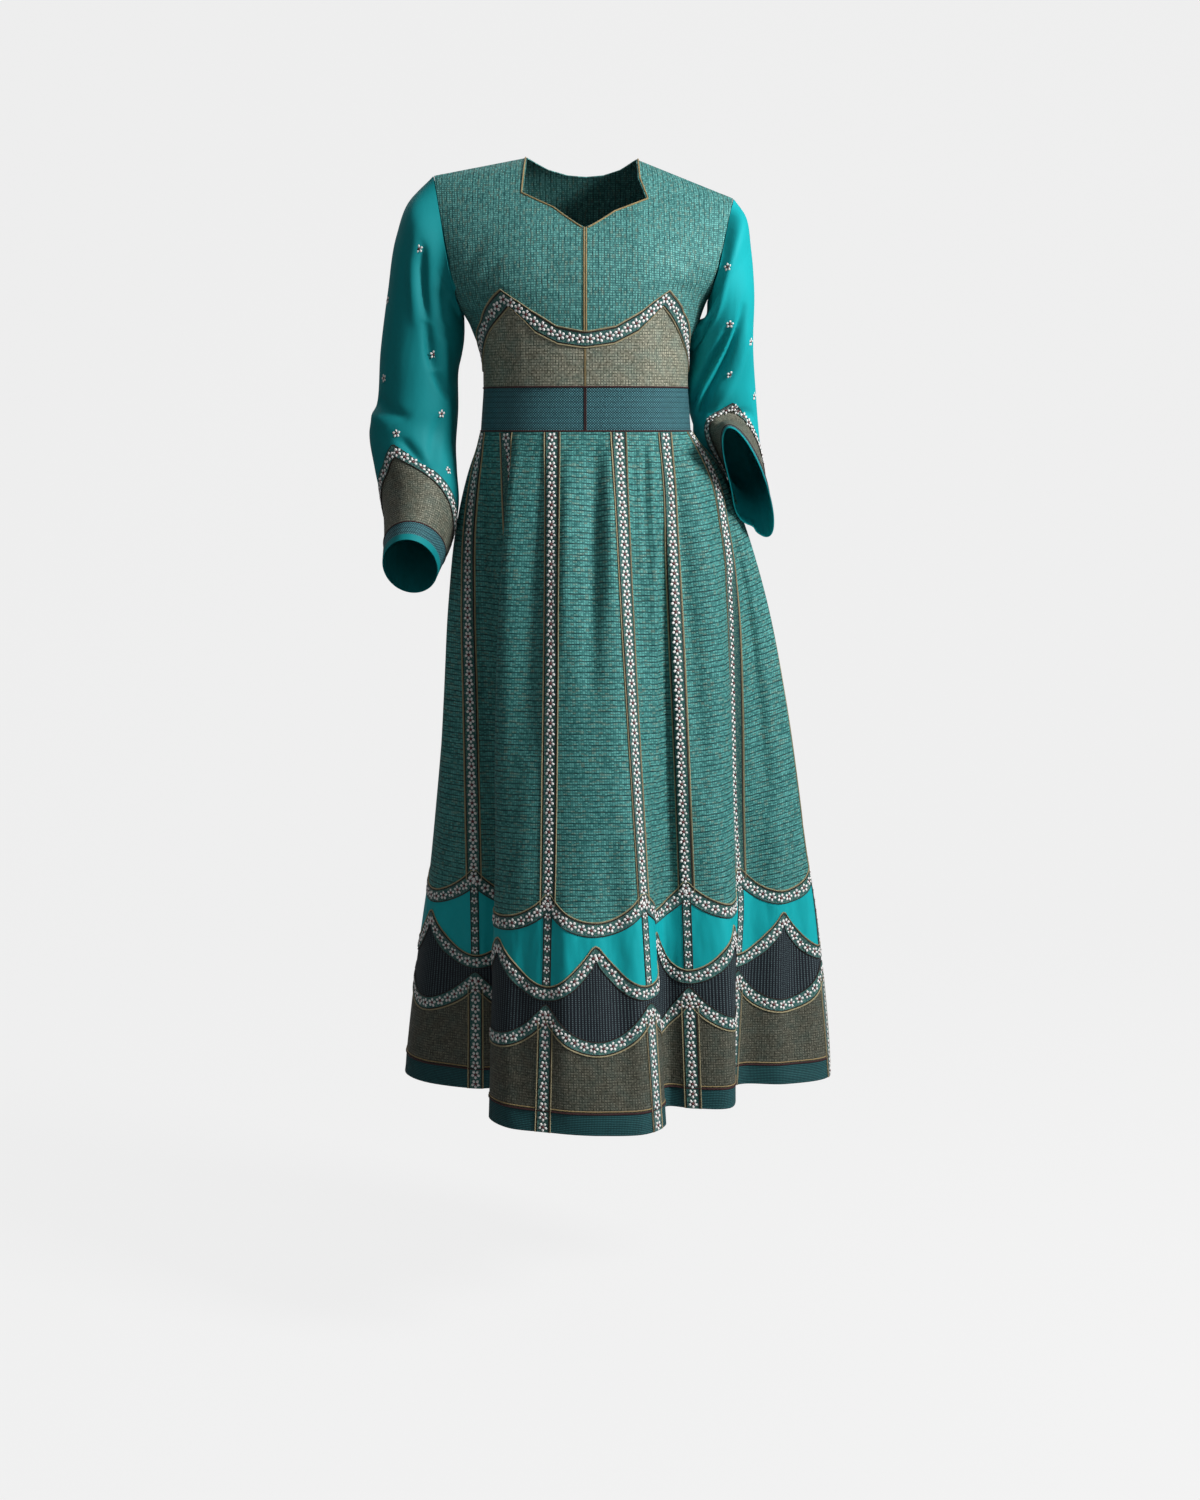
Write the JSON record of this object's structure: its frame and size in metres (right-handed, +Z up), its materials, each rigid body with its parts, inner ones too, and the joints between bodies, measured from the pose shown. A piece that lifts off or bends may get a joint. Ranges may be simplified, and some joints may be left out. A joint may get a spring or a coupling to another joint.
{
  "type": "dress",
  "caption": "Long-sleeved Afghan dress with a notched neckline, wide waistband, flared gored skirt and scalloped hem rows edged with flower ribbon.",
  "frame": {"origin": "between the two neck points, at their mean height, on the shoulder seam line, where the wearer's shoulders carry the dress", "axes": "+X to the viewer's right, the front faces -Y, +Z up"},
  "size_m": [0.6004, 0.4412, 1.1897],
  "materials": {
    "teal_brocade": "basket brocade weave, teal with fine dark and gold threads",
    "teal_satin": "smooth crepe with a soft sheen",
    "olive_cloth": "olive metallic weave with teal specks",
    "waistband_weave": "fine zigzag weave, blue teal on dark",
    "navy_cloth": "dark navy with upright rows of teal dashes",
    "daisy_ribbon": "embroidered white flowers with dark red centres on teal, gold and dark edges",
    "gold_piping": "narrow gold brown cord piping"
  },
  "bodies": {
    "root": {"bodice_back": "teal_brocade", "cuff_band_left": "waistband_weave", "cuff_band_right": "waistband_weave", "cuff_edge_left": "teal_satin", "cuff_edge_right": "teal_satin", "cuff_point_left": "olive_cloth", "cuff_point_right": "olive_cloth", "cuff_ribbon_left": "daisy_ribbon", "cuff_ribbon_right": "daisy_ribbon", "gore_01": "teal_brocade", "gore_02": "teal_brocade", "gore_03": "teal_brocade", "gore_04": "teal_brocade", "gore_05": "teal_brocade", "gore_06": "teal_brocade", "gore_07": "teal_brocade", "gore_08": "teal_brocade", "gore_09": "teal_brocade", "gore_10": "teal_brocade", "gore_11": "teal_brocade", "gore_12": "teal_brocade", "hem_band": "waistband_weave", "midriff_left": "olive_cloth", "midriff_right": "olive_cloth", "navy_ribbon": "daisy_ribbon", "navy_scales": "navy_cloth", "olive_ribbon": "daisy_ribbon", "olive_scales": "olive_cloth", "piping_left": "gold_piping", "piping_right": "gold_piping", "satin_ribbon": "daisy_ribbon", "satin_scales": "teal_satin", "scallop_ribbon_left": "daisy_ribbon", "scallop_ribbon_right": "daisy_ribbon", "seam_ribbon_01": "daisy_ribbon", "seam_ribbon_02": "daisy_ribbon", "seam_ribbon_03": "daisy_ribbon", "seam_ribbon_04": "daisy_ribbon", "seam_ribbon_05": "daisy_ribbon", "seam_ribbon_06": "daisy_ribbon", "seam_ribbon_07": "daisy_ribbon", "seam_ribbon_08": "daisy_ribbon", "seam_ribbon_09": "daisy_ribbon", "seam_ribbon_10": "daisy_ribbon", "seam_ribbon_11": "daisy_ribbon", "seam_ribbon_12": "daisy_ribbon", "sleeve_left": "teal_satin", "sleeve_right": "teal_satin", "waistband_back": "waistband_weave", "waistband_left": "waistband_weave", "waistband_right": "waistband_weave", "yoke_left": "teal_brocade", "yoke_right": "teal_brocade"}
  },
  "joints": []
}
